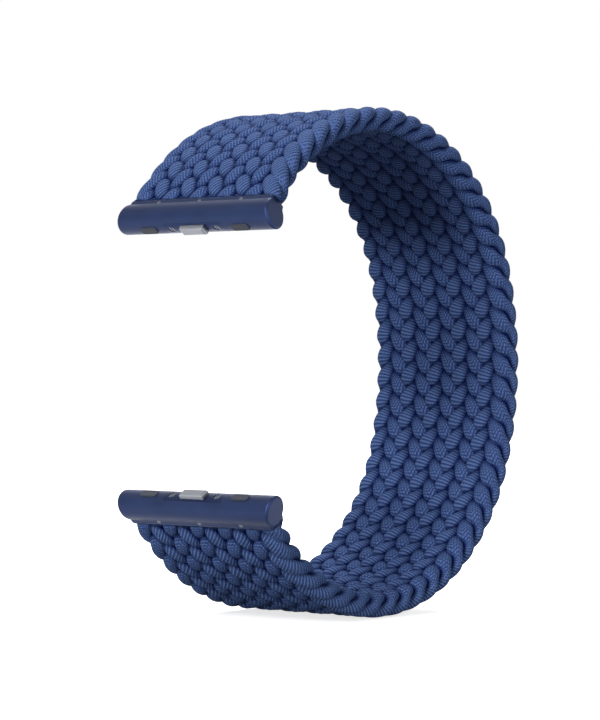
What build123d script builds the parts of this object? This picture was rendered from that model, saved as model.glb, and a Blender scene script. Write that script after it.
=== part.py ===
"""Braided elastic watch strap: one braided loop with a slide-in lug at each end.

The origin is the centre of the wrist opening. +X runs along the wrist, across the width of the
braid. +Z is the crown of the loop, and the watch sits at -Y, between the two lugs.
"""
import os
from math import asin, atan2, cos, degrees, radians, sin

from build123d import *

os.makedirs("parts", exist_ok=True)

# Loop of braid, as worn: a four-centre oval, measured on the middle of the braid
loop_half_height = 33.9
loop_half_depth = 30.0
rear_radius = 45.0
braid_width = 25.2
braid_thickness = 3.5
braid_edge_radius = 1.6

# Lengths of braid, counted back from the mouth of each lug
mouth_height = 21.6
tab_root_length = 1.0
flex_length = 6.0
end_length = 20.0
crown_length = 12.0
section_gap = 0.15

# Lug body: a round bead on a flat web, with raked ends
bead_radius = 2.1
bead_setback = 2.3
web_thickness = 2.9
mouth_width = 25.6
nose_width = 28.0
lug_edge_radius = 0.35
lug_wall = 0.45

# Braid tab, flattened and heat-set, and the cross pins that hold it
tab_thickness = 1.7
tab_width = 22.0
tab_depth = 1.4
tab_clearance = 0.05
pin_count = 3
pin_pitch = 7.5
pin_radius = 0.35
pin_setback = 0.75

# Latch: a flanged plunger on a bowed leaf spring
plunger_width = 4.2
plunger_thickness = 1.4
plunger_stand_out = 0.6
plunger_tip_radius = 0.3
flange_width = 5.8
flange_breadth = 1.7
flange_thickness = 0.5
spring_thickness = 0.12
spring_breadth = 1.2
spring_span = 5.2

# Latch cover, its two countersunk screws
cover_width = 10.4
cover_breadth = 2.0
cover_thickness = 0.95
screw_offset = 4.1
screw_radius = 0.3
screw_length = 2.0
screw_head_radius = 0.5
screw_head_height = 0.35
screw_head_sink = 0.1
driver_slot_width = 0.16
driver_slot_depth = 0.12

# Grip pads, let into the bead
pad_offset = 8.3
pad_length = 3.2
pad_breadth = 1.3
pad_depth = 1.1
pad_stand_out = 0.15
pad_edge_radius = 0.12

# Fits
fit_clearance = 0.02
running_clearance = 0.05
cut_overrun = 1.0

# The oval: rear arc about a centre on the Y axis, shoulder arcs about centres on the Z axis
rear_offset = rear_radius - loop_half_depth
shoulder_radius = rear_radius**2 - rear_offset**2 - loop_half_height**2
shoulder_radius /= 2 * (rear_radius - loop_half_height)
shoulder_height = loop_half_height - shoulder_radius
join_angle = degrees(atan2(shoulder_height, rear_offset))
mouth_angle = 180 - degrees(asin((mouth_height - shoulder_height) / shoulder_radius))

# Angles round the shoulder arc where the lengths of braid meet
root_angle = mouth_angle - degrees(tab_root_length / shoulder_radius)
flex_angle = root_angle - degrees(flex_length / shoulder_radius)
end_angle = flex_angle - degrees(end_length / shoulder_radius)
crown_angle = end_angle - degrees(crown_length / shoulder_radius)
gap_angle = degrees(section_gap / shoulder_radius)

# Distances along the lug, from its mouth towards its nose
nose_reach = bead_setback + bead_radius
pocket_depth = tab_depth + tab_clearance
cavity_floor = pocket_depth + lug_wall
cover_floor = nose_reach - cover_thickness
flange_front = cover_floor - running_clearance
flange_back = flange_front - flange_thickness
lug_reach = nose_reach + cut_overrun

print("shoulder radius", round(shoulder_radius, 2), "joined at", round(join_angle, 2), "degrees")
print("braid ends at", round(mouth_angle, 2), "degrees")
print("room behind the plunger", round(flange_back - cavity_floor, 2))
rear_arc_length = radians(2 * join_angle) * rear_radius
shoulder_arc_length = radians(mouth_angle - join_angle) * shoulder_radius
print("length of braid", round(rear_arc_length + 2 * shoulder_arc_length, 1))


def arc_point(angle, side):
    """A point on the middle of the braid, on the upper (side 1) or lower (side -1) shoulder."""
    turn = radians(angle)
    return (0, shoulder_radius * cos(turn), side * (shoulder_height + shoulder_radius * sin(turn)))


def lug_frame(side):
    """The lug's own plane: x towards its nose, z along the wrist, origin at its mouth."""
    turn = radians(mouth_angle)
    towards_nose = (0, -sin(turn), side * cos(turn))
    return Plane(origin=arc_point(mouth_angle, side), x_dir=towards_nose, z_dir=(1, 0, 0))


def plan_frame(side):
    """The lug seen on its flat: x along the wrist, y towards the nose."""
    seat = lug_frame(side)
    return Plane(origin=seat.origin, x_dir=(1, 0, 0), z_dir=seat.y_dir)


def nose_frame(side, reach):
    """A plane across the lug, at a distance from its mouth, seen from its nose."""
    seat = lug_frame(side)
    return Plane(origin=seat.origin + seat.x_dir * reach, x_dir=(1, 0, 0), z_dir=seat.x_dir)


def braid_section(path):
    """The flat oval section of the braid, set square on the start of a path."""
    return Plane(origin=path @ 0, x_dir=(1, 0, 0), z_dir=path % 0)


def finish(part, label):
    """Name a finished piece and write it to its own file."""
    part.label = label
    export_step(part, f"parts/{label}.step")


# Rear braid: the rear arc and the two shoulder arcs beside it, in one length
rear_span = crown_angle - gap_angle / 2 - join_angle
with BuildPart() as rear_braid:
    with BuildLine(Plane.YZ) as rear_path:
        CenterArc((0, -shoulder_height), shoulder_radius, -join_angle - rear_span, rear_span)
        CenterArc((-rear_offset, 0), rear_radius, -join_angle, 2 * join_angle)
        CenterArc((0, shoulder_height), shoulder_radius, join_angle, rear_span)
    with BuildSketch(braid_section(rear_path.wire())):
        RectangleRounded(braid_width, braid_thickness, braid_edge_radius)
    sweep(path=rear_path.wire())
finish(rear_braid.part, "rear_braid")


def shoulder_braid(label, side, start, finish_angle):
    """One length of braid on a shoulder arc, short of its neighbours by the section gap."""
    first = start + gap_angle / 2
    with BuildPart() as braid:
        with BuildLine(Plane.YZ) as path:
            CenterArc((0, side * shoulder_height), shoulder_radius, side * first,
                      side * (finish_angle - gap_angle / 2 - first))
        with BuildSketch(braid_section(path.line)):
            RectangleRounded(braid_width, braid_thickness, braid_edge_radius)
        sweep(path=path.line)
    finish(braid.part, label)


def braid_tab(label, side):
    """The heat-set end of the braid: a root at full thickness and a flat tab in the lug's pocket."""
    with BuildPart() as tab:
        with BuildSketch(nose_frame(side, -tab_root_length)):
            RectangleRounded(braid_width, braid_thickness, braid_edge_radius)
        extrude(amount=tab_root_length - tab_clearance)
        with BuildSketch(nose_frame(side, -tab_clearance)):
            Rectangle(tab_width, tab_thickness)
        extrude(amount=tab_depth + tab_clearance)
        with BuildSketch(plan_frame(side)):
            with Locations((0, pin_setback)):
                with GridLocations(pin_pitch, 0, pin_count, 1):
                    Circle(pin_radius + fit_clearance)
        extrude(amount=web_thickness, both=True, mode=Mode.SUBTRACT)
    finish(tab.part, label)


def lug_body(label, side):
    """The metal bar: bead and web, raked ends, and the pockets for all that it holds."""
    with BuildPart() as body:
        with BuildSketch(lug_frame(side)):
            with Locations((bead_setback, 0)):
                Circle(bead_radius)
            with Locations((bead_setback / 2, 0)):
                Rectangle(bead_setback, web_thickness)
        extrude(amount=nose_width / 2, both=True)
        with BuildSketch(plan_frame(side)):
            with BuildLine():
                Polyline((-mouth_width / 2, 0), (mouth_width / 2, 0), (nose_width / 2, nose_reach),
                         (-nose_width / 2, nose_reach), close=True)
            make_face()
        extrude(amount=bead_radius + cut_overrun, both=True, mode=Mode.INTERSECT)
        fillet(body.edges(), lug_edge_radius)
        with BuildSketch(nose_frame(side, pocket_depth)):
            Rectangle(tab_width + 2 * tab_clearance, tab_thickness + 2 * tab_clearance)
        extrude(amount=-pocket_depth - cut_overrun, mode=Mode.SUBTRACT)
        with BuildSketch(nose_frame(side, cavity_floor)):
            Rectangle(flange_width + 2 * running_clearance, flange_breadth + 2 * running_clearance)
        extrude(amount=lug_reach - cavity_floor, mode=Mode.SUBTRACT)
        with BuildSketch(nose_frame(side, cover_floor)):
            Rectangle(cover_width + 2 * fit_clearance, cover_breadth + 2 * fit_clearance)
        extrude(amount=lug_reach - cover_floor, mode=Mode.SUBTRACT)
        with BuildSketch(nose_frame(side, nose_reach - screw_head_sink)):
            with GridLocations(2 * screw_offset, 0, 2, 1):
                Circle(screw_radius + fit_clearance)
        extrude(amount=-screw_length - fit_clearance, mode=Mode.SUBTRACT)
        with BuildSketch(nose_frame(side, nose_reach - pad_depth)):
            with GridLocations(2 * pad_offset, 0, 2, 1):
                SlotOverall(pad_length, pad_breadth)
        extrude(amount=pad_depth + cut_overrun, mode=Mode.SUBTRACT)
        with BuildSketch(plan_frame(side)):
            with Locations((0, pin_setback)):
                with GridLocations(pin_pitch, 0, pin_count, 1):
                    Circle(pin_radius + fit_clearance)
        extrude(amount=web_thickness, both=True, mode=Mode.SUBTRACT)
    finish(body.part, label)


def retaining_pins(label, side):
    """Three cross pins through the web and the braid tab, flush with the web."""
    with BuildPart() as pins:
        with BuildSketch(plan_frame(side)):
            with Locations((0, pin_setback)):
                with GridLocations(pin_pitch, 0, pin_count, 1):
                    Circle(pin_radius)
        extrude(amount=web_thickness / 2, both=True)
    finish(pins.part, label)


def latch_plunger(label, side):
    """The sprung block: a flange that stays behind the cover and a rounded nose through it."""
    with BuildPart() as plunger:
        with BuildSketch(nose_frame(side, flange_back)):
            Rectangle(flange_width, flange_breadth)
        extrude(amount=flange_thickness)
        with BuildSketch(nose_frame(side, flange_front)):
            Rectangle(plunger_width, plunger_thickness)
        extrude(amount=nose_reach + plunger_stand_out - flange_front)
        tip = plunger.faces().sort_by(Axis(lug_frame(side).origin, lug_frame(side).x_dir))[-1]
        fillet(tip.edges(), plunger_tip_radius)
    finish(plunger.part, label)


def latch_spring(label, side):
    """A bowed leaf: its ends on the floor of the cavity, its middle against the plunger."""
    foot = cavity_floor + fit_clearance
    crest = flange_back - fit_clearance
    half = spring_span / 2
    with BuildPart() as leaf:
        with BuildSketch(plan_frame(side)):
            with BuildLine():
                ThreePointArc((-half, foot), (0, crest - spring_thickness), (half, foot))
                Line((half, foot), (half, foot + spring_thickness))
                ThreePointArc((half, foot + spring_thickness), (0, crest), (-half, foot + spring_thickness))
                Line((-half, foot + spring_thickness), (-half, foot))
            make_face()
        extrude(amount=spring_breadth / 2, both=True)
    finish(leaf.part, label)


def latch_cover(label, side):
    """The plate let into the bead, with a window for the plunger and two counterbored holes."""
    with BuildPart() as cover:
        with BuildSketch(nose_frame(side, cover_floor + fit_clearance)):
            Rectangle(cover_width, cover_breadth)
        extrude(amount=cover_thickness)
        with BuildSketch(lug_frame(side)):
            with Locations((bead_setback, 0)):
                Circle(bead_radius)
        extrude(amount=cover_width, both=True, mode=Mode.INTERSECT)
        with BuildSketch(nose_frame(side, cover_floor)):
            Rectangle(plunger_width + 2 * running_clearance, plunger_thickness + 2 * running_clearance)
            with GridLocations(2 * screw_offset, 0, 2, 1):
                Circle(screw_radius + fit_clearance)
        extrude(amount=lug_reach - cover_floor, mode=Mode.SUBTRACT)
        with BuildSketch(nose_frame(side, nose_reach - screw_head_sink - screw_head_height)):
            with GridLocations(2 * screw_offset, 0, 2, 1):
                Circle(screw_head_radius + fit_clearance)
        extrude(amount=screw_head_height + cut_overrun, mode=Mode.SUBTRACT)
    finish(cover.part, label)


def cover_screws(label, side):
    """Two screws with slotted flat heads, sunk just below the bead."""
    top = nose_reach - screw_head_sink
    with BuildPart() as screws:
        with BuildSketch(nose_frame(side, top)):
            with GridLocations(2 * screw_offset, 0, 2, 1):
                Circle(screw_radius)
        extrude(amount=-screw_length)
        with BuildSketch(nose_frame(side, top)):
            with GridLocations(2 * screw_offset, 0, 2, 1):
                Circle(screw_head_radius)
        extrude(amount=-screw_head_height + fit_clearance)
        with BuildSketch(nose_frame(side, top)):
            with GridLocations(2 * screw_offset, 0, 2, 1):
                Rectangle(driver_slot_width, 2 * screw_head_radius)
        extrude(amount=-driver_slot_depth, mode=Mode.SUBTRACT)
    finish(screws.part, label)


def grip_pads(label, side):
    """Two elastomer pads in the bead, just proud of it."""
    with BuildPart() as pads:
        with BuildSketch(nose_frame(side, nose_reach - pad_depth + fit_clearance)):
            with GridLocations(2 * pad_offset, 0, 2, 1):
                SlotOverall(pad_length - 2 * fit_clearance, pad_breadth - 2 * fit_clearance)
        extrude(amount=pad_depth + pad_stand_out - fit_clearance)
        along = Axis(lug_frame(side).origin, lug_frame(side).x_dir)
        fillet(pads.faces().sort_by(along)[-2:].edges(), pad_edge_radius)
    finish(pads.part, label)


for end_name, side in (("upper", 1), ("lower", -1)):
    shoulder_name = "crown" if side > 0 else "belly"
    shoulder_braid(f"{shoulder_name}_braid", side, crown_angle, end_angle)
    shoulder_braid(f"{end_name}_end_braid", side, end_angle, flex_angle)
    shoulder_braid(f"{end_name}_flex_braid", side, flex_angle, root_angle)
    braid_tab(f"{end_name}_braid_tab", side)
    lug_body(f"{end_name}_lug_body", side)
    retaining_pins(f"{end_name}_retaining_pins", side)
    latch_plunger(f"{end_name}_latch_plunger", side)
    latch_spring(f"{end_name}_latch_spring", side)
    latch_cover(f"{end_name}_latch_cover", side)
    cover_screws(f"{end_name}_cover_screws", side)
    grip_pads(f"{end_name}_grip_pads", side)

turn_point = arc_point((flex_angle + root_angle) / 2, 1)
bead_point = lug_frame(1).origin + lug_frame(1).x_dir * bead_setback
print("lug turns about", [round(v, 3) for v in turn_point])
print("bead centre", [round(v, 3) for v in bead_point], "nose direction",
      [round(v, 5) for v in lug_frame(1).x_dir])
print("clear height between noses", round(2 * (bead_point.Z - bead_radius), 2))
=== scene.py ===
# %% [markdown]
# A braided elastic watch strap
#
# The strap is one loop of flat braid: 21 round cords, each an elastic core in a ribbed polyester
# cover, worked over two and under two. Each end is heat-set, flattened and pinned into a small
# metal lug, which slides sideways into a slot and is held there by a sprung latch. This lesson
# dresses the engineering solids of that strap: the metal parts stay as they are and get a finish,
# and the plain lengths of braid make way for real cords that follow the braid's own path.

# %% Load the solids
from math import asin, atan2, cos, pi, radians, sin, tau

import bpy
import numpy as np
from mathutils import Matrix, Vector


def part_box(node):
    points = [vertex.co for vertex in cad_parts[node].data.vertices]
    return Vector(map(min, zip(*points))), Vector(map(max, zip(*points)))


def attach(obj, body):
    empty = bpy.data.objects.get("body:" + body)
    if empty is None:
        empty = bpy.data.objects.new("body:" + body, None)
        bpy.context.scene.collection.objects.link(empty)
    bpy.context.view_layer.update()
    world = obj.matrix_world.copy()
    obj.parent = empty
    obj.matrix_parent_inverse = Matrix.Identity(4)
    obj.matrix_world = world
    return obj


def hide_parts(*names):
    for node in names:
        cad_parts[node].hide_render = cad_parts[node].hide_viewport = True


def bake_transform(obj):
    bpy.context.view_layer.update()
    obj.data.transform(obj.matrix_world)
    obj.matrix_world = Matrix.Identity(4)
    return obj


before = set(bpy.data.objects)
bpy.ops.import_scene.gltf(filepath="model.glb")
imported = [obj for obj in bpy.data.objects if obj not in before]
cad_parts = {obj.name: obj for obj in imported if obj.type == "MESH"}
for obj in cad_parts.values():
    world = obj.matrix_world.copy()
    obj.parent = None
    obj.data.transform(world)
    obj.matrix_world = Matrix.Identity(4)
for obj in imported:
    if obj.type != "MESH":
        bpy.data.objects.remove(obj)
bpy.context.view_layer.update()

# %% [markdown]
# The camera
#
# The strap is seen from its open side and forty degrees round towards one edge, level with
# the middle of the loop, from about forty centimetres. Blender could aim a camera with a
# constraint, but a fixed direction, distance and lens are plain numbers that stay put. The lens
# is long, so the near and the far edge of the braid keep nearly the same width.

# %% Camera
MM = 0.001
camera_azimuth = radians(40.1)
camera_distance = 403.0 * MM
camera_height = 0.7 * MM
aim_sideways = -2.73 * MM
aim_height = 0.29 * MM
lens_mm = 141.5
sensor_mm = 36.0
nearest_seen = 0.01
farthest_seen = 20.0

towards_camera = Vector((sin(camera_azimuth), -cos(camera_azimuth), 0.0))
camera_right = Vector((cos(camera_azimuth), sin(camera_azimuth), 0.0))
camera_aim = camera_right * aim_sideways
camera_data = bpy.data.cameras.new("camera")
camera_data.lens = lens_mm
camera_data.sensor_width = sensor_mm
camera_data.clip_start = nearest_seen
camera_data.clip_end = farthest_seen
camera = bpy.data.objects.new("camera", camera_data)
camera.location = towards_camera * camera_distance + camera_aim + Vector((0, 0, camera_height))
view_line = camera_aim + Vector((0, 0, aim_height)) - camera.location
camera.rotation_mode = "QUATERNION"
camera.rotation_quaternion = view_line.to_track_quat("-Z", "Y")
bpy.context.scene.collection.objects.link(camera)
bpy.context.scene.camera = camera
print("camera", [round(v / MM, 1) for v in camera.location], "mm")

# %% [markdown]
# The line that the braid follows
#
# The loop is an oval of three arcs: a flatter rear arc and two rounder shoulder arcs, which stop
# at the mouths of the lugs. A curve object could hold it, but the cords need its direction and
# its outward normal at thousands of places, and one formula gives all of them at once. Distance
# is nought at the middle of the rear and grows towards the lower lug, so the upper half has
# distances below nought.

# %% Centre line of the braid
loop_half_height = 33.9
loop_half_depth = 30.0
rear_radius = 45.0
mouth_height = 21.6
rear_offset = rear_radius - loop_half_depth
shoulder_radius = (rear_radius**2 - rear_offset**2 - loop_half_height**2) / 2
shoulder_radius /= rear_radius - loop_half_height
shoulder_height = loop_half_height - shoulder_radius
join_angle = atan2(shoulder_height, rear_offset)
mouth_angle = pi - asin((mouth_height - shoulder_height) / shoulder_radius)
rear_half_length = rear_radius * join_angle
half_length = rear_half_length + shoulder_radius * (mouth_angle - join_angle)


def loop_line(s):
    """Centre point, direction and outward normal of the braid at distances s, as (n, 3) arrays."""
    side = np.where(s < 0, 1.0, -1.0)
    reach = np.abs(s)
    on_rear = reach <= rear_half_length
    shoulder_turn = join_angle + (reach - rear_half_length) / shoulder_radius
    turn = np.where(on_rear, reach / rear_radius, shoulder_turn)
    centre_y = np.where(on_rear, -rear_offset, 0.0)
    centre_z = np.where(on_rear, 0.0, shoulder_height)
    radius = np.where(on_rear, rear_radius, shoulder_radius)
    nought = np.zeros_like(s)
    normal = np.stack([nought, np.cos(turn), side * np.sin(turn)], axis=1)
    point = np.stack([nought, centre_y, side * centre_z], axis=1) + radius[:, None] * normal
    along = np.stack([nought, side * np.sin(turn), -np.cos(turn)], axis=1)
    return point, along, normal


def mouth_frame(side):
    """Mouth of the upper (1) or lower (-1) lug: point, way into the lug, and outward normal."""
    point, along, normal = loop_line(np.array([-side * half_length]))
    return point[0], along[0] * -side, normal[0]


print("braid", round(2 * half_length, 1), "mm long, shoulder radius", round(shoulder_radius, 2))

# %% [markdown]
# The path of one cord across the band
#
# In a flat braid every cord runs to and fro across the band for ever. Its place is counted here
# in crossings: it meets another cord at each whole number, 21 of them from one edge to the other.
# A sine could draw the wave from edge to edge, but a real cord runs nearly straight and turns
# sharply at the edge, and the arc sine of a cosine does that. On the outer face each float stands
# up more than the cord's run does, so a small sine holds the cord back near the middle of a
# float. Each cord repeats its neighbour one row on, so one path serves all 21.

# %% Path across the band
cord_count = 21
crossings = cord_count
row_pitch = 3.40
crossing_step = row_pitch / 2
row_shift = 0.8
turn_reach = 11.55
turn_sharpness = 0.99
float_span = 2
float_centre = 1.5
first_dive = 2.5
outer_uprightness = 0.35
inner_uprightness = 0.0
edge_calm = 0.3


def distance_at(q, lead):
    """Distance along the braid, in mm, of cord number lead after q crossings."""
    return (q + 2 * lead) * crossing_step + row_shift


def crossings_at(s, lead):
    """The count of crossings of cord number lead at distance s."""
    return (s - row_shift) / crossing_step - 2 * lead


def across(q):
    """Distance from the middle of the band, in mm, after q crossings."""
    inland = 1 - np.exp(-((np.sin(pi * q / crossings) / edge_calm) ** 2))
    trip = np.mod(q, crossings)
    inner = np.mod(trip - first_dive, 2 * float_span) < float_span
    uprightness = np.where(inner, inner_uprightness, outer_uprightness)
    held_back = q - uprightness / pi * np.sin(pi * (trip - float_centre)) * inland
    swing = np.cos(pi * held_back / crossings)
    return -turn_reach * np.arcsin(turn_sharpness * swing) / asin(turn_sharpness)


print("a cord crosses the band every", round(crossings * crossing_step, 1), "mm")

# %% [markdown]
# The floats of one cord
#
# Seen from the side, a cord is a row of floats: over two others, under two, with a longer float
# round each edge. A plain sine would make round hills, but elastic cords lie flat on top and dive
# steeply, which a hyperbolic tangent gives. A float is fullest a little past its middle, because
# the cord leaves one neighbour slowly and dives steeply under the next.

# %% Floats
edge_lead = 0.3
dive_count = 9
trip_ends = [-edge_lead] + [first_dive + float_span * k for k in range(dive_count)]
trip_ends.append(crossings - edge_lead)
float_height = 0.87
float_squareness = 1.25
outer_lead = 0.09
inner_lead = 0.2
edge_fade = 1.05


def float_shape(q):
    """Height of the cord as a share: 1 on top of the outer face, -1 on top of the inner face."""
    trip = np.mod(q + edge_lead, crossings) - edge_lead
    index = np.searchsorted(trip_ends, trip, side="right") - 1
    index = np.clip(index, 0, len(trip_ends) - 2)
    starts = np.array(trip_ends)[index]
    ends = np.array(trip_ends)[index + 1]
    share = (trip - starts) / (ends - starts)
    lead = np.where(index % 2 == 0, outer_lead, inner_lead)
    bow = np.sin(pi * (share - lead * np.sin(pi * share) ** 2))
    bow = np.tanh(float_squareness * bow) / np.tanh(float_squareness)
    return np.where(index % 2 == 0, bow, -bow)


def edge_nearness(q):
    """1 where the cord turns round an edge of the band, fading to 0 in about two crossings."""
    trip = np.mod(q + crossings / 2, crossings) - crossings / 2
    return np.exp(-((trip / edge_fade) ** 2))


print("floats from edge to edge:", len(trip_ends) - 1)

# %% [markdown]
# The section of a cord
#
# A braided cord isn't a wire of one diameter. Where it floats it swells, where it dives between
# its neighbours they squeeze it, and round an edge it is nearly round because nothing presses on
# it. So its width and its thickness are worked out at each ring from the same path. Over the last
# five millimetres before a lug the whole braid is pressed flatter, to the thickness of the lug's
# web, and fans out to the lug's width.

# %% Centres of a cord
press_length = 5.0
full_press_length = 0.3
pressed_share = 0.86
fan_share = 0.06


def smooth(value, low, high):
    """0 below low, 1 above high, and a smooth step between."""
    t = np.clip((value - low) / (high - low), 0, 1)
    return t * t * (3 - 2 * t)


def cord_centres(q, lead):
    """Centre points of cord number lead, the braid's normal there, and how far it is flattened."""
    s = distance_at(q, lead)
    point, _, normal = loop_line(s)
    press = 1 - smooth(half_length - np.abs(s), full_press_length, press_length)
    flatness = 1 - (1 - pressed_share) * press
    height = float_height * float_shape(q) * flatness
    place = point + height[:, None] * normal
    place[:, 0] += across(q) * (1 + fan_share * press)
    return place, normal, flatness


print("pressed to", pressed_share, "of its height over", press_length, "mm before a lug")

# %% Rings along a cord
ring_step = 0.34
cord_slack = 1.35
least_rings = 4
float_width = 2.6
dive_width = 1.85
swell_power = 0.5
float_thickness = 1.8
edge_width = 2.3
edge_thickness = 2.0
pattern_step = 0.618


def cord_rings(first_q, last_q, lead):
    """Centre, side and up vectors, half width and half thickness at each ring of one cord."""
    cord_length = (last_q - first_q) * crossing_step * cord_slack
    count = max(least_rings, int(cord_length / ring_step))
    q = np.linspace(first_q, last_q, count + 1)
    place, normal, flatness = cord_centres(q, lead)
    nudge = 1e-3
    ahead = cord_centres(q + nudge, lead)[0] - cord_centres(q - nudge, lead)[0]
    ahead /= np.linalg.norm(ahead, axis=1)[:, None]
    sideways = np.cross(ahead, normal)
    sideways /= np.linalg.norm(sideways, axis=1)[:, None]
    fullness = np.abs(float_shape(q)) ** swell_power
    edge = edge_nearness(q)
    width = dive_width + (float_width - dive_width) * fullness
    width = width + (edge_width - width) * edge
    thickness = float_thickness + (edge_thickness - float_thickness) * edge
    return {"q": q, "distance": distance_at(q, lead), "place": place, "side": sideways,
            "up": np.cross(sideways, ahead), "width": width / 2,
            "thick": thickness * flatness / 2, "flatness": flatness,
            "pattern_start": pattern_step * lead}


print("cord", dive_width, "to", float_width, "mm wide, a ring every", ring_step, "mm")

# %% [markdown]
# The skin of a cord
#
# The cords could be curves with a bevel, but a bevel is round and keeps one section. Rings of
# points take any section, here a circle drawn a little towards a square. The rings are clipped at
# the mouth of the lug, where the real braid is cut. Each point also keeps how deep it lies inside
# the outline of the whole braid, because little light reaches yarn that lies deep.

# %% Skin of one cord
ring_sides = 16
section_power = 2.15
braid_width = 25.2
braid_thickness = 3.5
braid_edge_radius = 1.6
clip_gap = 0.03
ring_turn = np.arange(ring_sides) * tau / ring_sides
outline_x, outline_y = (np.sign(wave) * np.abs(wave) ** (2 / section_power)
                        for wave in (np.cos(ring_turn), np.sin(ring_turn)))


def clip_at_mouth(points, side):
    """Press points that pass the mouth of one lug back to its face."""
    mouth, forward, _ = mouth_frame(side)
    beyond = (points - mouth) @ forward + clip_gap
    return points - np.clip(beyond, 0, None)[..., None] * forward


def sunk(x, lift):
    """How deep points lie inside the rounded flat outline of the whole braid, in mm."""
    over_x = np.abs(x) - (braid_width / 2 - braid_edge_radius)
    over_lift = np.abs(lift) - (braid_thickness / 2 - braid_edge_radius)
    outside = np.hypot(np.clip(over_x, 0, None), np.clip(over_lift, 0, None))
    return braid_edge_radius - outside - np.clip(np.maximum(over_x, over_lift), None, 0)


def cord_skin(rings):
    """Points of one cord's surface, ring by ring, and the depth of each."""
    skin = (rings["place"][:, None, :]
            + rings["side"][:, None, :] * (rings["width"][:, None] * outline_x)[:, :, None]
            + rings["up"][:, None, :] * (rings["thick"][:, None] * outline_y)[:, :, None])
    for side in (1, -1):
        near = -side * rings["distance"] > half_length - press_length
        skin[near] = clip_at_mouth(skin[near], side)
    middle, _, normal = loop_line(rings["distance"])
    lift = ((skin - middle[:, None, :]) * normal[:, None, :]).sum(2)
    depth = sunk(skin[:, :, 0], lift / rings["flatness"][:, None])
    return skin.reshape(-1, 3), depth.ravel()


print("points in a ring:", ring_sides)

# %% [markdown]
# Faces and maps of a cord
#
# Quads join each ring to the next. Blender could unwrap them, but a cord is a tape already: one
# map holds the distance along it in real millimetres and the turns round it, which the yarn's
# finish needs. A second map cuts all the cords of a mesh into rows and stacks them in a square,
# so that a baked texture has even and undistorted room, with a line of discs above for the cut
# ends.

# %% Faces and maps
strip_margin = 0.35
cord_girth = 5.6
strip_pitch = cord_girth + strip_margin
cap_row = 2.6
cap_start = 1.2
cap_pitch = 2.3
cap_squash = 0.8


def tube_faces(start, ring_count):
    """Corner numbers of the quads of one cord whose first point has the number start."""
    k = np.arange(ring_sides)
    ring = start + np.arange(ring_count - 1)[:, None] * ring_sides
    here, beside = ring + k, ring + (k + 1) % ring_sides
    return np.stack([here, here + ring_sides, beside + ring_sides, beside], axis=2).reshape(-1, 4)


def tube_map(run, first_u):
    """Map of those quads: distance along the cord from first_u, and turns round it."""
    near, far = (np.repeat(u[:, None], ring_sides, axis=1) for u in (run[:-1], run[1:]))
    k = np.tile(np.arange(ring_sides), (len(run) - 1, 1))
    v0, v1 = k / ring_sides, (k + 1) / ring_sides
    u = np.stack([near, far, far, near], axis=2) + first_u
    v = np.stack([v0, v0, v1, v1], axis=2)
    return np.stack([u, v], axis=3).reshape(-1, 2)


def square_size(tape_length):
    """Length of a row, and side of the square, that hold a tape of this length in mm."""
    rows = max(1, int(np.ceil((tape_length / strip_pitch) ** 0.5)))
    row_length = tape_length / rows
    return row_length, max(row_length + 2 * strip_margin, rows * strip_pitch + cap_row)


def strip_map(tape, quad_starts, row_length, square):
    """Cut the tape into rows, quad by quad, and stack the rows in the unit square."""
    row = np.floor(quad_starts / row_length)
    u = tape[:, 0] - row * row_length + strip_margin / 2
    v = row * strip_pitch + tape[:, 1] * cord_girth + strip_margin / 2
    return np.stack([u, v], axis=1) / square


print("a strip of the bake map is", cord_girth, "mm high")

# %% [markdown]
# From rings to a mesh
#
# A mesh can be made from lists of points and faces in one call, which is easy to read, or from
# whole arrays, which is far quicker when there are hundreds of thousands of corners. The cords
# take the quick way. Their mesh also carries two numbers at each point for the yarn's material:
# the depth, which sets a painted shade on yarn that lies deep, and which way the cord runs there,
# because its two directions show different sides of the cover.

# %% A mesh from whole arrays
def add_piece(name, mesh):
    """An object with this mesh, put into the scene."""
    piece = bpy.data.objects.new(name, mesh)
    bpy.context.scene.collection.objects.link(piece)
    return piece


def build_mesh(name, points, quads, caps):
    """A smooth mesh from points in mm, quads, and end faces with a ring of corners each."""
    mesh = bpy.data.meshes.new(name)
    loops = np.concatenate([quads.ravel(), *caps])
    cap_loops = len(quads) * 4 + np.arange(len(caps)) * ring_sides
    starts = np.concatenate([np.arange(len(quads)) * 4, cap_loops])
    mesh.vertices.add(len(points))
    mesh.vertices.foreach_set("co", (points * MM).ravel())
    mesh.loops.add(len(loops))
    mesh.loops.foreach_set("vertex_index", loops.astype(np.int32))
    mesh.polygons.add(len(starts))
    mesh.polygons.foreach_set("loop_start", starts.astype(np.int32))
    mesh.polygons.foreach_set("use_smooth", np.ones(len(starts), dtype=bool))
    mesh.update(calc_edges=True)
    mesh.validate()
    print(name, "has", len(starts), "faces")
    return mesh


def write_layers(mesh, maps, attributes):
    """Store maps, one pair at each corner of a face, and attributes, one number at each point."""
    for name, values in maps.items():
        layer = mesh.uv_layers.new(name=name)
        layer.data.foreach_set("uv", np.concatenate(values).ravel().astype(np.float32))
    for name, values in attributes.items():
        attribute = mesh.attributes.new(name, "FLOAT", "POINT")
        attribute.data.foreach_set("value", np.concatenate(values).astype(np.float32))


# %% [markdown]
# One mesh for a group of cords
#
# Every cord could be an object of its own, but a strap of 21 cords in four lengths would be slow
# to handle. So neighbours share a mesh: their skins, quads and maps are laid end to end, and each
# cut end gets a disc. The discs have points of their own, so the shading has a crisp edge there.

# %% Mesh of a group of cords
lay_blend = 0.1


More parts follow.
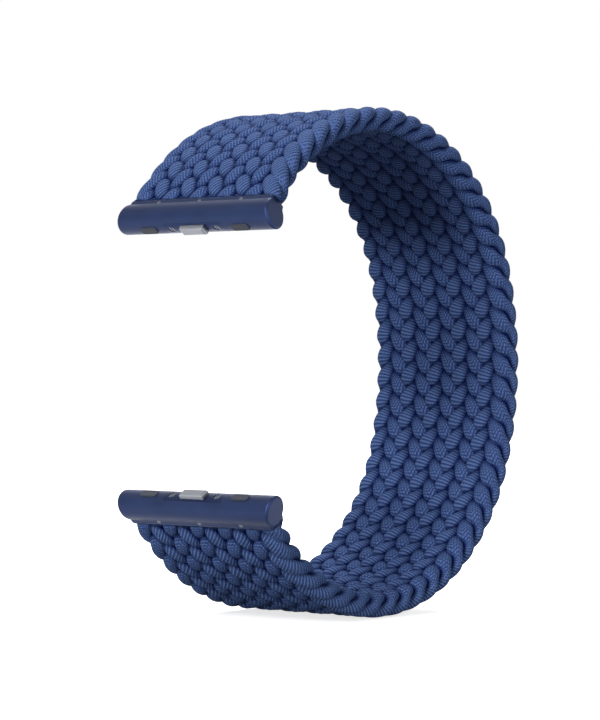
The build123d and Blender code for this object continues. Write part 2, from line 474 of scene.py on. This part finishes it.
def end_caps(skins, start, square):
    """Points, faces and map of the discs that close both ends of each cord."""
    ring = np.arange(ring_sides)
    points, faces, discs = [], [], []
    place = cap_start
    for skin in skins:
        for cap, order in ((skin[:ring_sides], ring), (skin[-ring_sides:], ring[::-1])):
            disc = [place + outline_x, square - cap_row / 2 + outline_y * cap_squash]
            points.append(cap)
            faces.append(start + order)
            discs.append((np.stack(disc, axis=1) / square)[order])
            place += cap_pitch
            start += ring_sides
    return points, faces, discs


def cords_mesh(name, rings_of_cords):
    """One mesh of closed tubes, with its yarn map, its bake map, its depth and its lay."""
    skins, depths, lays, quads, yarn, tape, quad_starts = [], [], [], [], [], [], []
    start, tape_length = 0, 0.0
    for rings in rings_of_cords:
        skin, depth = cord_skin(rings)
        step = np.linalg.norm(np.diff(rings["place"], axis=0), axis=1)
        run = np.concatenate([[0.0], np.cumsum(step)])
        lay = 1 - smooth(np.sin(pi * rings["q"] / crossings), -lay_blend, lay_blend)
        skins.append(skin)
        depths.append(depth)
        lays.append(np.repeat(lay, ring_sides))
        quads.append(tube_faces(start, len(run)))
        yarn.append(tube_map(run, rings["pattern_start"]))
        tape.append(tube_map(run, tape_length))
        quad_starts.append(np.repeat(run[:-1] + tape_length, 4 * ring_sides))
        start += len(skin)
        tape_length += run[-1] + strip_margin
    row_length, square = square_size(tape_length)
    bake = strip_map(np.concatenate(tape), np.concatenate(quad_starts), row_length, square)
    cap_points, cap_faces, cap_discs = end_caps(skins, start, square)
    plain = np.zeros(len(cap_faces) * ring_sides)
    mesh = build_mesh(name, np.concatenate(skins + cap_points), np.concatenate(quads), cap_faces)
    maps = {"yarn": [*yarn, np.stack([plain, plain], axis=1)], "OFBake": [bake, *cap_discs]}
    write_layers(mesh, maps, {"depth": [*depths, plain], "lay": [*lays, plain]})
    return add_piece(name, mesh)


print("a cord turns from one lay to the other over", 2 * lay_blend, "of its swing")

# %% [markdown]
# Where the cords are divided
#
# The rear of the loop stays still, its two halves stretch towards the lugs, and the last few
# millimetres bend where a lug turns. One mesh can bend over only one of these joints, so each
# cord is divided at the middle of the rear and again behind each lug. A cut in plain sight would
# show as a line, so each cord is divided where it dives between two others, at the dive nearest
# the border.

# %% Divide the cords
flex_border = 8.6
group_size = 3
overrun = 0.8


def dive_near(s, lead):
    """The count of crossings at which cord number lead dives, as near as can be to distance s."""
    wanted = crossings_at(s, lead)
    trip = np.floor(wanted / crossings)
    dives = [(trip + t) * crossings + end for t in (-1, 0, 1) for end in trip_ends[1:-1]]
    return min(dives, key=lambda q: abs(q - wanted))


pieces = {}
for lead in range(cord_count):
    upper_mouth = crossings_at(-half_length - overrun, lead)
    upper = dive_near(-half_length + flex_border, lead)
    middle = dive_near(0.0, lead)
    lower = dive_near(half_length - flex_border, lead)
    lower_mouth = crossings_at(half_length + overrun, lead)
    group = lead // group_size + 1
    for name, first, last in ((f"crown_cords_{group}", upper, middle),
                              (f"belly_cords_{group}", middle, lower),
                              ("upper_flex_cords", upper_mouth, upper),
                              ("lower_flex_cords", lower, lower_mouth)):
        pieces.setdefault(name, []).append(cord_rings(first, last, lead))
cords = {name: cords_mesh(name, rings) for name, rings in pieces.items()}
print("cord pieces:", len(cords), "faces:", sum(len(o.data.polygons) for o in cords.values()))

# %% [markdown]
# The cords take the place of the braid
#
# A cord could ride on one body, but it would then tear at every border. Here each piece keeps the
# points it was drawn with, and the plain solids of braid that the cords replace are hidden.

# %% Cords in place of the braid solids
flex_length = 7.0
rigid_length = 1.0


def point_behind_mouth(side, distance):
    """A point on the centre line, so far behind the mouth of one lug, in metres."""
    point, _, _ = loop_line(np.array([-side * (half_length - distance)]))
    return Vector(point[0] * MM)


for name, piece in cords.items():
    upper_half = name.startswith(("crown", "upper"))
    end_name, side = ("upper", 1) if upper_half else ("lower", -1)
    if "flex" in name:
        point_behind_mouth(side, flex_length)
        point_behind_mouth(side, rigid_length)
        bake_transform(piece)
        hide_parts(f"{end_name}_flex_braid")
    else:
        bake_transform(piece)
        shoulder = "crown_braid" if upper_half else "belly_braid"
        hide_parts("rear_braid", shoulder, f"{end_name}_end_braid")
print("blended", len(cords), "pieces of braid")

# %% [markdown]
# A closed bar from rows of points
#
# Two small pieces follow that are bars with one section along their length: the fused root and
# the leaf spring. Each could be a box with a bevel, but one is uneven and the other is bowed. One
# helper joins rows of points into a bar and closes its two ends.

# %% Bars from rows
def bar(name, points, corners):
    """A closed bar from rows of points in mm, with so many corners in each row."""
    steps = len(points) // corners - 1
    faces = [(row * corners + k, row * corners + (k + 1) % corners,
              (row + 1) * corners + (k + 1) % corners, (row + 1) * corners + k)
             for row in range(steps) for k in range(corners)]
    faces.append(tuple(reversed(range(corners))))
    faces.append(tuple(steps * corners + k for k in range(corners)))
    mesh = bpy.data.meshes.new(name)
    mesh.from_pydata([point * MM for point in points], [], faces)
    print(name, "has", len(faces), "faces")
    return add_piece(name, mesh)


# %% [markdown]
# The heat-set roots
#
# At the mouth of the lug the cords are melted together into a flat tab, which goes on into the
# lug's pocket and is pinned there. Little of it shows, between the last cords and the lug. A
# sculpted lump would be lost there, so a slab with a slightly uneven surface is enough, as wide
# as the pocket and a little thinner.

# %% Heat-set roots
root_back = 0.8
root_front = 1.38
root_half_width = 10.9
root_half_thickness = 0.8
root_steps = 60
root_corners = 12
root_squareness = 0.35
swells = ((0.05, 2.4), (0.03, 5.1))


def squared(wave):
    """A sine or cosine pushed towards -1 and 1, which draws a rounded rectangle."""
    return np.sign(wave) * abs(wave) ** root_squareness


def fused_root(end_name, side):
    """A rounded slab of fused yarn across the mouth of one lug."""
    mouth, forward, normal = mouth_frame(side)
    reach = (root_front + root_back) / 2
    points = []
    for row in range(root_steps + 1):
        x = root_half_width * (2 * row / root_steps - 1)
        swell = 1 + sum(height * sin(row * rate) for height, rate in swells)
        for k in range(root_corners):
            turn = tau * k / root_corners
            ahead = root_front - reach + reach * squared(cos(turn))
            lift = root_half_thickness * swell * squared(sin(turn))
            point = mouth + forward * ahead - normal * side * lift
            points.append(point + np.array([x, 0, 0]))
    piece = bar(f"{end_name}_fused_root", points, root_corners)
    piece.data.polygons.foreach_set("use_smooth", [True] * len(piece.data.polygons))
    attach(piece, f"{end_name}_lug")
    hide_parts(f"{end_name}_braid_tab")
    return piece


roots = [fused_root("upper", 1), fused_root("lower", -1)]
print("fused roots:", [o.name for o in roots])

# %% [markdown]
# The latch springs
#
# Behind each plunger lies a bowed leaf of spring steel. Its ends rest on the floor of the cavity
# and its middle carries the plunger, so a press on the plunger flattens the bow. A leaf that rode
# on the lug alone would be cut through by the plunger. This one is drawn again as a strip along
# an arc, with enough rings to bend.

# %% Latch springs
leaf_foot = 1.92
leaf_crest = 2.88
leaf_half_span = 2.6
leaf_thickness = 0.12
leaf_half_breadth = 0.6
leaf_bevel = 0.03
leaf_steps = 40
bend_margin = 0.12


def leaf_section():
    """Corners of the strip's section: half breadth and half thickness, with bevelled edges."""
    flat_breadth = leaf_half_breadth - leaf_bevel
    flat_thickness = leaf_thickness / 2 - leaf_bevel
    quarter = [(leaf_half_breadth, flat_thickness), (flat_breadth, leaf_thickness / 2)]
    half = quarter + [(-b, t) for b, t in reversed(quarter)]
    return half + [(-b, -t) for b, t in half]


def leaf_spring(end_name, side):
    """A bowed leaf between the floor of one lug's cavity and its plunger."""
    mouth, forward, normal = mouth_frame(side)
    rise = leaf_crest - leaf_foot - leaf_thickness
    bow_radius = (leaf_half_span**2 + rise**2) / (2 * rise)
    half_bow = asin(leaf_half_span / bow_radius)
    section = leaf_section()
    points = []
    for step in range(leaf_steps + 1):
        turn = half_bow * (2 * step / leaf_steps - 1)
        for breadth, thickness in section:
            x = (bow_radius + thickness) * sin(turn)
            ahead = leaf_crest - leaf_thickness / 2 - bow_radius
            ahead += (bow_radius + thickness) * cos(turn)
            point = mouth + forward * ahead + normal * side * breadth
            points.append(point + np.array([x, 0, 0]))
    piece = bar(f"{end_name}_leaf_spring", points, len(section))
    bend_start = mouth + forward * (leaf_foot - bend_margin)
    bend_end = mouth + forward * (leaf_crest + bend_margin)
    bend_start * MM
    bend_end * MM
    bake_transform(piece)
    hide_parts(f"{end_name}_latch_spring")
    return piece


leaf_springs = [leaf_spring("upper", 1), leaf_spring("lower", -1)]
for spring in leaf_springs:
    low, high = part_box(spring.name.replace("leaf", "latch"))
    corners = np.array([v.co for v in spring.data.vertices])
    past = np.stack([corners.min(0) - low, corners.max(0) - high]) / MM
    print(spring.name, "leaves its solid by", np.round(past, 3).tolist(), "mm")

# %% [markdown]
# Writing shader maths as expressions
#
# A material is a graph of nodes, and wiring it by hand hides the idea in the plumbing. A small
# class wraps one socket and turns + - * into Math nodes, so a rib pattern reads like its formula.
# Every other node comes from one method that takes its type, its settings and its inputs.


# %% A socket that does sums
class Wire:
    """One output of a node. Sums on it add Math nodes to its graph."""

    def __init__(self, graph, socket):
        self.graph = graph
        self.socket = socket

    def math(self, operation, *others, first=None):
        inputs = dict(enumerate((self, *others) if first is None else (first, self)))
        return self.graph.node("ShaderNodeMath", {"operation": operation}, inputs)

    def __add__(self, other):
        return self.math("ADD", other)

    def __sub__(self, other):
        return self.math("SUBTRACT", other)

    def __mul__(self, other):
        return self.math("MULTIPLY", other)

    def __rsub__(self, other):
        return self.math("SUBTRACT", first=other)

    __radd__ = __add__
    __rmul__ = __mul__

    def clamp(self):
        return self.graph.node("ShaderNodeClamp", {}, {0: self})


print("sums that add nodes: + - *")


# %% The nodes of one graph
class Graph:
    """The nodes of a material or of the sky."""

    def __init__(self, tree):
        self.tree = tree

    def node(self, kind, settings, inputs, output=0):
        """Add a node, make its settings, then fill or link its inputs, and return one output."""
        made = self.tree.nodes.new(kind)
        for setting, value in settings.items():
            setattr(made, setting, value)
        for key, value in inputs.items():
            if isinstance(value, Wire):
                self.tree.links.new(value.socket, made.inputs[key])
            else:
                made.inputs[key].default_value = value
        return Wire(self, made.outputs[output])

    def noise(self, scale, detail, **inputs):
        """Cloudy noise, from 0 to 1."""
        return self.node("ShaderNodeTexNoise", {}, {"Scale": scale, "Detail": detail, **inputs})

    def mix(self, share, first, second):
        """A colour between two, by a share that may vary."""
        inputs = {0: share, 6: first, 7: second}
        return self.node("ShaderNodeMix", {"data_type": "RGBA"}, inputs, output=2)

    def grey(self, value):
        """A grey from one varying number, by Combine Color, because Math nodes carry no colour."""
        return self.node("ShaderNodeCombineColor", {}, {0: value, 1: value, 2: value})


print("helpers of a graph:", [name for name in vars(Graph) if not name.startswith("_")])


# %% A material under construction
class Paint(Graph):
    """A material and its one Principled shader."""

    def __init__(self, name, **constants):
        self.material = bpy.data.materials.new(name)
        self.material.use_nodes = True
        super().__init__(self.material.node_tree)
        self.shader = self.tree.nodes["Principled BSDF"]
        for socket, value in constants.items():
            self.shader.inputs[socket.replace("_", " ")].default_value = value

    def feed(self, socket, wire):
        """Link a varying value to an input of the Principled shader."""
        self.tree.links.new(wire.socket, self.shader.inputs[socket])

    def bump(self, height, depth):
        """A Bump node on the shader's normal, for a height from 0 to 1 over a depth in mm."""
        inputs = {"Height": height, "Distance": depth * MM, "Strength": 1.0}
        self.feed("Normal", self.node("ShaderNodeBump", {}, inputs))


def colour(red, green, blue):
    """A colour as it looks on a screen, from 0 to 255, for a socket that wants linear light."""
    shares = [v / 255 for v in (red, green, blue)]
    linear = [v / 12.92 if v <= 0.04045 else ((v + 0.055) / 1.055) ** 2.4 for v in shares]
    return (*linear, 1.0)


print("mid grey in linear light:", round(colour(128, 128, 128)[0], 3))

# %% [markdown]
# Yarn
#
# The cover of each cord is itself a fine braid of polyester filaments. From a step away it shows
# as ribs under half a millimetre apart: slanted on the cords that run one way, and in small
# zigzags on those that run the other way. An image would do this, but a formula on the yarn map
# is sharp at any size: distance along the cord, bent by the turn round it, goes through a cosine
# and gives both the bump and the colour of the ribs: a painted shade in the grooves between them
# and a painted highlight on their crests. A second cosine round the cord breaks each rib into
# stitches, and a little noise makes the ribs wander. Yarn that lies deep in the braid gets a
# painted shade, and the dye varies a little along each cord.

# %% Ribs of the yarn
rib_pitch = 0.42
rib_wander = 0.45
zigzags = 4
zigzag_reach = 1.3
helix_turns = 6
stitch_columns = 18
zigzag_stitch_share = 0.7
helix_stitch_share = 0.3
waver_scale = 1100.0


def hills(wire):
    """A wave from 0 to 1 with its crests at the whole numbers."""
    return (wire * tau).math("COSINE") * 0.5 + 0.5


def yarn_ribs(paint):
    """Height of the ribs, from 0 to 1: zigzags one way, a slanted helix the other way."""
    yarn_map = paint.node("ShaderNodeUVMap", {"uv_map": "yarn"}, {})
    along, around = (paint.node("ShaderNodeSeparateXYZ", {}, {0: yarn_map}, output=axis)
                     for axis in (0, 1))
    lay = paint.node("ShaderNodeAttribute", {"attribute_name": "lay"}, {}, output="Fac")
    ribs = along * (1 / rib_pitch) + paint.noise(waver_scale, detail=2.0) * rib_wander
    zigzag = (around * zigzags).math("PINGPONG", 0.5) * (2 * zigzag_reach)
    gaps = hills(around * stitch_columns)
    chevrons = hills(ribs + zigzag) * (1 - zigzag_stitch_share * gaps)
    slants = hills(ribs + around * helix_turns) * (1 - helix_stitch_share * gaps)
    return chevrons * (1 - lay) + slants * lay


print("ribs to a centimetre:", round(10 / rib_pitch, 1))

# %% Yarn material
# The next two colours are the ends of the rib colour, painted shade in the grooves and painted
# highlight on the crests, and also the ends of the dye's real variation.
yarn_dark_dye_and_rib_shade = colour(4, 34, 98)
yarn_pale_dye_and_rib_highlight = colour(114, 141, 198)
# Painted shade for yarn that lies deep between the cords.
yarn_painted_deep_shade = colour(0, 14, 78)
yarn_sheen = colour(120, 165, 225)
rib_light_share = 0.8
grain_light_share = 0.25
dye_light_share = 0.25
light_offset = 0.08
shade_start = 0.2
shade_rate = 2.4
rib_depth = 0.23
rib_height_share = 0.85
grain_scale = 2600.0
dye_scale = 180.0


def yarn_paint():
    """Ribbed navy yarn with painted shade in its depths and between its ribs, a painted highlight
    on the ribs, and a soft sheen.
    """
    paint = Paint("navy_yarn", Roughness=0.85, Sheen_Weight=0.14, Sheen_Roughness=0.5,
                  Sheen_Tint=yarn_sheen, Specular_IOR_Level=0.05)
    rib = yarn_ribs(paint)
    grain = paint.noise(grain_scale, detail=2.0)
    dye = paint.noise(dye_scale, detail=3.0, Roughness=0.6)
    # The rib share paints shade in the grooves and a highlight on the crests; grain and dye vary
    # the yarn's own tone.
    light = rib * rib_light_share + grain * grain_light_share + dye * dye_light_share
    painted_ribs_and_dye = paint.mix((light - light_offset).clamp(), yarn_dark_dye_and_rib_shade, yarn_pale_dye_and_rib_highlight)
    # Yarn that lies deep in the braid gets a painted shade, growing with its depth.
    depth = paint.node("ShaderNodeAttribute", {"attribute_name": "depth"}, {}, output="Fac")
    painted_shade_share = ((depth - shade_start) * shade_rate).clamp()
    paint.feed("Base Color", paint.mix(painted_shade_share, painted_ribs_and_dye, yarn_painted_deep_shade))
    paint.bump(rib * rib_height_share + grain * (1 - rib_height_share), rib_depth)
    return paint.material


yarn_material = yarn_paint()
for piece in cords.values():
    piece.data.materials.append(yarn_material)
print("yarn nodes:", len(yarn_material.node_tree.nodes))

# %% [markdown]
# Metals, elastomer and fused yarn
#
# The lugs are aluminium, blasted with glass beads and anodised to match the yarn, so they are
# matt with a very fine grain. The latch cover is brushed, which gives it a grain in one
# direction. The plungers, springs, pins and screws stay bare steel with the same kind of grain,
# so one function with two colours makes them all. The grip pads are a dark elastomer, and the
# roots are yarn that was melted and set again. An image could give each grain, but noise needs no
# map on the solids.

# %% Metals
blast_scale, patch_scale = 9000.0, 300.0
blast_roughness, blast_swing, patch_swing = 0.36, 0.12, 0.08
blast_depth = 0.012
blast_low, blast_high = colour(28, 40, 72), colour(36, 50, 86)
brush_scale = (400.0, 14000.0, 14000.0)
brush_swing = 0.16
brush_depth = 0.01


def solid_place(paint):
    """Places in the piece's own metres, so that a grain has its real size."""
    return paint.node("ShaderNodeTexCoord", {}, {}, output="Object")


def blasted_metal():
    """Bead-blasted, anodised aluminium: an even grain far finer than a millimetre."""
    paint = Paint("anodised_blasted", Metallic=0.85)
    place = solid_place(paint)
    fine = paint.noise(blast_scale, detail=2.0, Vector=place)
    patches = paint.noise(patch_scale, detail=3.0, Vector=place)
    paint.feed("Base Color", paint.mix(patches, blast_low, blast_high))
    paint.feed("Roughness", fine * blast_swing + patches * patch_swing + blast_roughness)
    paint.bump(fine, blast_depth)
    return paint.material


def brushed_metal(name, low, high, roughness):
    """Metal with a grain along X, from noise that is stretched that way."""
    paint = Paint(name, Metallic=0.95)
    inputs = {"Vector": solid_place(paint), "Scale": brush_scale}
    stretched = paint.node("ShaderNodeMapping", {}, inputs)
    lines = paint.noise(1.0, detail=3.0, Vector=stretched)
    paint.feed("Base Color", paint.mix(lines, low, high))
    paint.feed("Roughness", lines * brush_swing + roughness)
    paint.bump(lines, brush_depth)
    return paint.material


steel_low, steel_high = colour(118, 121, 128), colour(150, 153, 160)
cover_low, cover_high = colour(24, 35, 64), colour(36, 50, 86)
pin_low, pin_high = colour(84, 88, 100), colour(112, 117, 128)
screw_low, screw_high = colour(92, 96, 108), colour(128, 132, 144)
spring_low, spring_high = colour(130, 132, 138), colour(176, 178, 184)
finishes = {
    "lug_body": blasted_metal(),
    "latch_cover": brushed_metal("anodised_brushed", cover_low, cover_high, roughness=0.28),
    "latch_plunger": brushed_metal("latch_steel", steel_low, steel_high, roughness=0.34),
    "retaining_pins": brushed_metal("pin_steel", pin_low, pin_high, roughness=0.38),
    "cover_screws": brushed_metal("screw_steel", screw_low, screw_high, roughness=0.36),
    "leaf_spring": brushed_metal("spring_steel", spring_low, spring_high, roughness=0.25),
}
print("metals:", len(finishes))


# %% Elastomer and fused yarn
def lumpy(name, low, high, specular, scale, roughness, swing, depth):
    """An uneven surface: noise drives its colour, its roughness and a shallow bump."""
    paint = Paint(name, Specular_IOR_Level=specular)
    lumps = paint.noise(scale, detail=4.0, Vector=solid_place(paint))
    paint.feed("Base Color", paint.mix(lumps, low, high))
    paint.feed("Roughness", lumps * swing + roughness)
    paint.bump(lumps, depth)
    return paint.material


pad_low, pad_high = colour(24, 28, 40), colour(40, 45, 60)
root_low, root_high = colour(16, 26, 62), colour(44, 60, 112)
finishes["grip_pads"] = lumpy("grip_elastomer", pad_low, pad_high, specular=0.4, scale=1500.0,
                              roughness=0.5, swing=0.25, depth=0.02)
finishes["fused_root"] = lumpy("fused_yarn", root_low, root_high, specular=0.5, scale=900.0,
                               roughness=0.3, swing=0.3, depth=0.12)
print("finishes besides the yarn:", len(finishes))

# %% [markdown]
# Dressing the pieces
#
# Each finish belongs to a kind of piece, and there is one of each kind at either end of the
# strap. The finishes could be handed out one by one, but the names of the pieces end alike, so
# one loop finds them: the engineering solids, and the roots and springs that were drawn again.

# %% Dress every piece
solids = dict(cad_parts)
redrawn = {piece.name: piece for piece in roots + leaf_springs}
for name, piece in {**solids, **redrawn}.items():
    for ending, material in finishes.items():
        if name.endswith(ending):
            piece.data.materials.clear()
            piece.data.materials.append(material)
            print(name, "gets", material.name)

# %% [markdown]
# The table and the sky
#
# The strap stands on the outside of its belly on a pale table. The background is white to the
# camera and to mirrors only, which a lamp could do too, but that would light the strap as well.
# The table glows a little for the camera, so it fades to white at a distance and still darkens
# where the strap shades it, and it throws little light up. The sky gives almost none, so the
# inside of the crown stays in shade, as it does on a real table.

# %% Table and sky
strap_stand = 1.85
ground_height = -(loop_half_height + strap_stand) * MM
table_size = 3.0
table_seen = 0.8
table_bounce = 0.18
glow_start = 0.05
glow_reach = 0.08
glow_least = 0.72
sky_strength = 0.02


def sees_background(graph):
    """1 for rays from the camera, a mirror or glass, and 0 for the light on the object."""
    camera_ray, mirror_ray, glass_ray = (
        graph.node("ShaderNodeLightPath", {}, {}, output=name)
        for name in ("Is Camera Ray", "Is Glossy Ray", "Is Transmission Ray"))
    return (camera_ray + mirror_ray + glass_ray).clamp()


def table_paint():
    """A pale plain table, with a glow for the camera that grows to white away from the strap."""
    paint = Paint("pale_table", Roughness=1.0, Specular_IOR_Level=0.0, Emission_Strength=1.0)
    seen = sees_background(paint)
    place = solid_place(paint)
    away = paint.node("ShaderNodeVectorMath", {"operation": "LENGTH"}, {0: place}, output="Value")
    fade = ((away - glow_start) * (1 / glow_reach)).clamp()
    paint.feed("Emission Color", paint.grey(seen * (fade * (1 - glow_least) + glow_least)))
    paint.feed("Base Color", paint.grey(seen * (table_seen - table_bounce) + table_bounce))
    return paint.material


half = table_size / 2
table_corners = [(-half, -half, 0), (half, -half, 0), (half, half, 0), (-half, half, 0)]
ground_mesh = bpy.data.meshes.new("table")
ground_mesh.from_pydata(table_corners, [], [(0, 1, 2, 3)])
ground = add_piece("table", ground_mesh)
ground.location = (0, 0, ground_height)
ground.data.materials.append(table_paint())

sky = bpy.data.worlds.new("sky")
bpy.context.scene.world = sky
sky.use_nodes = True
background = sky.node_tree.nodes["Background"]
background.inputs["Color"].default_value = (1, 1, 1, 1)
sky_light = sees_background(Graph(sky.node_tree)) * (1 - sky_strength) + sky_strength
sky.node_tree.links.new(sky_light.socket, background.inputs["Strength"])
print("table at", round(ground_height / MM, 2), "mm")

# %% [markdown]
# The lamps
#
# Soft studio light comes from wide lamps close to the object. Two lamps in front, one high and
# one low, show the outside of the crown and the inside of the rear. One at the side lights the
# near edge. One above and behind shapes the crown, and a weak one behind keeps the back from
# going dark. An even sky would be simpler, but it would fill the shade between the cords and
# flatten the braid.

# %% Lamps
# Each lamp has its place and its width in metres, and its power in watts.
lamps = {
    "high_lamp": ((0.0, -0.75, 0.45), 0.35, 4.8),
    "low_lamp": ((0.10, -0.85, 0.0), 0.2, 5.3),
    "side_lamp": ((0.85, -0.15, 0.25), 0.5, 3.7),
    "back_lamp": ((-0.28, 0.52, 0.66), 0.4, 7.0),
    "rear_lamp": ((-0.35, 0.80, 0.10), 0.4, 2.2),
}
for name, (place, size, watts) in lamps.items():
    data = bpy.data.lights.new(name, "AREA")
    data.size = size
    data.energy = watts
    light = bpy.data.objects.new(name, data)
    light.location = place
    light.rotation_mode = "QUATERNION"
    light.rotation_quaternion = (-Vector(place)).to_track_quat("-Z", "Y")
    bpy.context.scene.collection.objects.link(light)
    print(name, size, "m wide,", watts, "W")
bpy.context.scene.view_settings.view_transform = "Standard"

# %% [markdown]
# Finish
